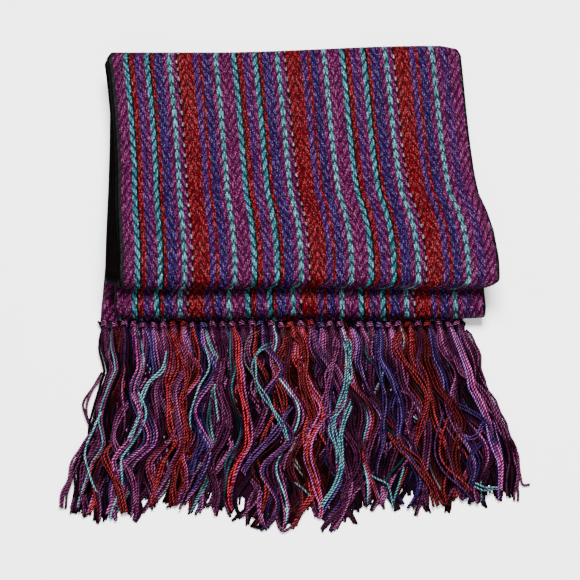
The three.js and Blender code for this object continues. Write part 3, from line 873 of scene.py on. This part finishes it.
def stray_lines(steps=30):
    """Curves through the stray yarns' points, side by side where a row has more than one. The points
    are read off at even steps and rounded by averaging each with its neighbours a few times."""
    lines, end, dice = [], [], np.random.default_rng(5)
    for row in STRAYS.strip().splitlines():
        colour, count, height, *points = row.split()
        count, height = int(count), float(height)
        points = np.array([point.split(",") for point in points], float)
        step = np.concatenate([[0], np.cumsum(np.hypot(*np.diff(points, axis=0).T))])
        even = np.linspace(0, step[-1], steps)
        curve = np.column_stack([np.interp(even, step, points[:, k]) for k in (0, 1)])
        for _ in range(4):
            curve[1:-1] = (curve[:-2] + 2 * curve[1:-1] + curve[2:]) / 4
        heading = unit(np.gradient(curve, axis=0))
        sideways = np.column_stack([-heading[:, 1], heading[:, 0]])
        turn = wave(even, 0.9, dice.uniform(30, 55), dice.uniform(*ANY_PHASE))
        for k in range(count):
            seat = (k - (count - 1) / 2) * dice.uniform(1.45, 1.75)
            sway = wave(even, dice.uniform(0.1, 0.5), dice.uniform(12, 26), dice.uniform(*ANY_PHASE))
            beside = curve + sideways * (seat * np.cos(turn) + sway)[:, None]
            rise = height * np.interp(even, (0, 6, step[-1] - 8, step[-1]), (0.5, 1, 1, 0.45))
            rise = rise + seat * np.sin(turn) * 0.5 + dice.uniform(-0.3, 0.3)
            lines.append(np.column_stack([beside[:, 0], CLOTH_END_Y - 1.9 - beside[:, 1], rise]))
            end.append(FRINGE_NAME.index(colour))
    return np.array(lines), np.array(end)


print(len(STRAYS.split("\n")) - 2, "rows of strays")


# %% The two fringes
def coil_ends(shift):
    """The threading end that ties each bunch."""
    return (np.arange(BUNCHES) * (ENDS - SELVEDGE - 6) / BUNCHES + SELVEDGE + shift).astype(int)


def upper_fringe():
    """The fringe on top: ribbons that cross each other, the knots, and the strays."""
    lines, colour, root, dice = fringe_lines("upper_end", seed=7, root_z=2.75, bed=2.4, loft=2.6)
    radius = dice.uniform(0.60, 0.88, (len(lines), 1))
    coils, out = knot_lines(root, dice, root_z=2.5)
    strays, stray_end = stray_lines()
    stray_colour = FRINGE_COLOUR[stray_end] * dice.uniform(0.6, 1.3, (len(strays), 1))
    return put_yarns("upper_fringe_yarn", [
        (lines, radius, 6, UP, colour),
        # the knots are painted half as light again as their yarn: painted light on their tops
        (coils, 0.58, 6, out, FRINGE_COLOUR[coil_ends(2)] * 1.5),
        (strays, 0.70, 6, UP, stray_colour),
    ])


def lower_fringe():
    """The fringe underneath: ribbons painted darker for the shade of the fringe on top, and a calm bed of
    loose yarns flat on the table, painted nearly black as shade, so that nothing of it shows through."""
    lines, colour, root, dice = fringe_lines("under", seed=19, root_z=0.95, bed=1.0, loft=1.3)
    radius = dice.uniform(0.60, 0.84, (len(lines), 1))
    coils, out = knot_lines(root, dice, root_z=0.9)
    bed, bed_colour = bed_lines()
    return put_yarns("lower_fringe_yarn", [
        # painted shade: the ribbons, the bed and the knots are painted darker than their yarns, for the
        # shade under the fringe on top
        (lines, radius, 5, UP, colour * 0.8),
        (bed, 0.60, 4, UP, bed_colour * 0.30),
        (coils, 0.5, 4, out, FRINGE_COLOUR[coil_ends(3)] * 0.7),
    ])


upper_fringe_yarn = upper_fringe()
lower_fringe_yarn = lower_fringe()
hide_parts("upper_fringe")
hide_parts("lower_fringe")

# %% [markdown]
# ## Materials
# A shader is easier to read as a formula than as a net of boxes, so a small class holds a socket and
# turns + - * / into Math nodes. The cloth's map counts ends and picks, so the rule that lifted the
# floats in the mesh tells the shader where warp covers weft. Finer yarn and twist lie on top of it.


# %% Shader arithmetic
def operator(operation, swapped=False):
    """A method that makes one Math node out of a Number and something else."""

    def method(self, other):
        return self.math(operation, other, self) if swapped else self.math(operation, self, other)

    return method


class Number:
    """A number that varies over the surface: the output socket of a node, with arithmetic."""

    def __init__(self, finish, socket):
        self.finish, self.socket = finish, socket

    def math(self, operation, *values):
        return self.finish.node("ShaderNodeMath", dict(operation=operation), dict(enumerate(values)))

    __add__ = __radd__ = operator("ADD")
    __sub__ = operator("SUBTRACT")
    __rsub__ = operator("SUBTRACT", swapped=True)
    __mul__ = __rmul__ = operator("MULTIPLY")
    __truediv__ = operator("DIVIDE")
    __mod__ = operator("FLOORED_MODULO")
    least = operator("MINIMUM")
    most = operator("MAXIMUM")

    def whole(self):
        """The whole number below."""
        return self.math("FLOOR", self)

    def sine(self):
        return self.math("SINE", self)

    def step(self, low, high):
        """0 below low, 1 above high, smooth between."""
        inputs = {"Value": self, "From Min": low, "From Max": high}
        return self.finish.node("ShaderNodeMapRange", dict(interpolation_type="SMOOTHSTEP"), inputs)


class Finish:
    """A material under construction, with its Principled shader."""

    def __init__(self, name, **constants):
        self.material = bpy.data.materials.new(name)
        self.material.use_nodes = True
        self.tree = self.material.node_tree
        self.shader = self.tree.nodes["Principled BSDF"]
        for socket, value in constants.items():
            self.shader.inputs[socket.replace("_", " ")].default_value = value

    def node(self, kind, settings, inputs, output=0):
        """One node: its settings first, then the values or links of its sockets."""
        made = self.tree.nodes.new(kind)
        for name, value in settings.items():
            setattr(made, name, value)
        for name, value in inputs.items():
            self.set(made.inputs[name], value)
        return Number(self, made.outputs[output])

    def set(self, socket, value):
        if isinstance(value, Number):
            self.tree.links.new(value.socket, socket)
        else:
            socket.default_value = value

    def feed(self, socket, value):
        self.set(self.shader.inputs[socket], value)

    def mix(self, share, low, high):
        """A colour between two others."""
        return self.node("ShaderNodeMix", dict(data_type="RGBA"), {0: share, 6: low, 7: high}, output=2)

    def vector(self, operation, inputs, output=0):
        return self.node("ShaderNodeVectorMath", dict(operation=operation), inputs, output)

    def dim(self, colour, share):
        """A colour multiplied by a number."""
        return self.vector("SCALE", {0: colour, "Scale": share})

    def dot(self, colour, weights):
        """The sum of a colour's channels, each times its weight."""
        return self.vector("DOT_PRODUCT", {0: colour, 1: weights}, output=1)

    def pale(self, colour, white, cool):
        """A painted highlight of a colour: much lighter, with white in it, and more white where the dye is
        bluer.
        """
        return self.vector("ADD", {0: self.dim(colour, 2.4), 1: white + self.dot(colour, (0, 0, cool))})

    def noise(self, place, scale, detail, **settings):
        inputs = {"Vector": place, "Scale": scale, "Detail": detail}
        return self.node("ShaderNodeTexNoise", settings, inputs)

    def relief(self, height):
        """Let the light see a height map, 0.3 mm deep."""
        inputs = {"Strength": 1.0, "Distance": 0.0003, "Height": height}
        self.feed("Normal", self.node("ShaderNodeBump", {}, inputs))

    def scatter(self, first, second):
        """A random number from 0 to 1 for each pair of whole numbers."""
        pair = self.node("ShaderNodeCombineXYZ", {}, {"X": first, "Y": second})
        return self.node("ShaderNodeTexWhiteNoise", dict(noise_dimensions="2D"), {"Vector": pair})

    def read(self, name, output):
        """A value kept in the mesh under a name."""
        return self.node("ShaderNodeAttribute", dict(attribute_name=name), {}, output=output)

    def map(self):
        """The place in the piece's own map, and the two numbers of it."""
        place = self.node("ShaderNodeUVMap", dict(uv_map="weave"), {})
        parts = self.tree.nodes.new("ShaderNodeSeparateXYZ")
        self.set(parts.inputs[0], place)
        return place, Number(self, parts.outputs[0]), Number(self, parts.outputs[1])


TURN = 6.2832  # a whole turn in radians
print("shader arithmetic:", sorted(name for name in vars(Number) if not name.startswith("_")))


# %% Striped cloth
def striped_cloth():
    """Warp floats three picks long over a black weft. An end shows where the cycle of four picks is
    away from its dip; it is round across, and painted shade darkens it towards the grooves on both sides
    of it and towards its dips. Every float has a lightness of its own, and some of them get a painted
    glint on the crest. Where the weft shows, the colour is the yarn's, darkened: black weft with painted
    shade in the dip."""
    finish = Finish("striped_cloth", Specular_IOR_Level=0.02)
    place, ends, picks = finish.map()
    lift, dip, reverse = (finish.read(name, 2) for name in ("lift", "dip", "reverse"))
    yarn = finish.read("yarn", 0)
    since = picks + lift - 0.5
    cycle = since % 4.0
    distance = cycle.least(4.0 - cycle)
    across = ends % 1.0
    round_yarn = across * (1.0 - across) * 4.0
    speck = finish.noise(place, 1.15, 3.0, noise_dimensions="2D")
    spark = finish.scatter((ends * 2.0).whole(), (picks * 2.4).whole())
    twist = (ends * TURN + picks * 8.6).sine()
    # painted shade along the ply twist, times a random tone of specks and cells
    tone_and_twist_shade = (0.35 + 1.2 * speck) * (0.70 + 0.5 * spark) * (1.0 + 0.30 * twist)
    face_cover = (distance - dip + round_yarn * 0.25 + speck * 0.5).step(0.15, 0.75)
    dots = (picks * 6.6 + ends.whole() * (TURN / 2)).sine()
    cover = face_cover + (dots.step(0.1, 0.8) - face_cover) * reverse
    float_shape = distance.step(0.2, 1.7)
    own = finish.scatter(ends.whole(), (since / 4.0).whole())
    # painted shade: darker towards the grooves between ends and towards the dips, times each float's own
    # random tone
    light = (0.4 + 0.6 * round_yarn) * (0.45 + 0.75 * float_shape) * (0.6 + 0.8 * own) * tone_and_twist_shade
    # painted glints: small light spots on the crests of some floats, none on the reverse
    painted_glint = (0.35 * speck + 0.65 * spark + 0.10 * own + 0.10 * twist).step(0.75, 0.86) * round_yarn
    painted_gloss = painted_glint * (0.55 + 0.45 * float_shape) * (1.0 - reverse)
    # the float's colour: its painted shade and tone, with the painted glints mixed in
    painted_light_colour = finish.mix(painted_gloss, finish.dim(yarn, light), finish.pale(yarn, 0.042, 0.7))
    # where the weft shows: the yarn's colour darkened, for the black weft and for painted shade in the dip
    finish.feed("Base Color", finish.mix(cover, finish.dim(yarn, (0.21 - dip * 0.16) * tone_and_twist_shade), painted_light_colour))
    finish.feed("Roughness", 0.66 - 0.2 * float_shape * cover - 0.12 * painted_glint)
    finish.relief(cover * (0.55 * float_shape + 0.45 * round_yarn + 0.08 * twist))
    return finish.material


def fringe_yarn():
    """Three plies twisted together: a sine that winds round the tube as it goes along makes the ridges.
    Painted light makes a yarn light along its top, painted shade makes it dark at its sides and between
    the ridges, and painted highlights sit as beads on the ridges there."""
    finish = Finish("fringe_yarn", Specular_IOR_Level=0.02)
    _, around, along = finish.map()
    yarn = finish.read("yarn", 0)
    # painted light: 1 on the upper side of a yarn, 0 at its sides and below
    top = (around * TURN).sine().most(0.0)
    place = finish.node("ShaderNodeTexCoord", {}, {}, output=3)
    fleck = finish.noise(place, 500.0, 2.0)
    slow_noise = finish.noise(place, 110.0, 1.0)
    ridge = (around * (3 * TURN) + along * 3.6 + slow_noise * 9.0 + fleck * 3.0).sine() * 0.5 + 0.5
    # painted shade and light: darker between the ply ridges, light along the top and dark at the sides,
    # times a random tone
    shade = (0.40 + 0.60 * ridge) * (0.03 + 1.05 * top) * (0.1 + 1.8 * fleck)
    # painted glints on the lit ridges
    painted_glint = (ridge * top * (0.1 + 1.2 * fleck + 0.7 * slow_noise)).step(0.65, 0.90)
    painted_bead = finish.dot(yarn, (9.0, 5.0, 5.0)).step(0.0, 0.7) * painted_glint  # hardly any on the dark yarns
    finish.feed("Base Color", finish.mix(painted_bead, finish.dim(yarn, shade), finish.pale(yarn, 0.026, 1.2)))
    finish.feed("Roughness", 0.6 - 0.18 * ridge)
    finish.relief(ridge)
    return finish.material


def plain_table():
    """A pale, even, matt surface."""
    return Finish("table", Roughness=0.9, Base_Color=(0.95, 0.95, 0.95, 1.0)).material


for finish, pieces in (
    (striped_cloth(), (top_cloth, lower_cloth, upper_end_cloth, under_cloth, back_cloth, inner_cloth)),
    (fringe_yarn(), (upper_fringe_yarn, lower_fringe_yarn)),
    (plain_table(), (table,)),
):
    for piece in pieces:
        piece.data.materials.append(finish)
    print(finish.name, "is on", [piece.name for piece in pieces])

# %% [markdown]
# ## The cloth's real size
# A stretch unfolded would be as wide as between its selvedges and as long as its path. The lengths of
# the stretches' paths add up to the whole woven length of the scarf, which is printed.


# %% The woven length
def path_length(path):
    """How long a path of (y, z) points in millimetres is, in metres."""
    return float(np.hypot(*np.diff(path, axis=0).T).sum()) * MM


upper_end_length = (LOWER_DEPTH_Y - CLOTH_END_Y) * MM
inner_length = sum(path_length(path) for _, path in INSIDE)
woven = upper_end_length + inner_length
woven += sum(path_length(path) for path in (top_path, lower_path, under_path, back_path))
print("woven length", round(woven, 3), "m")
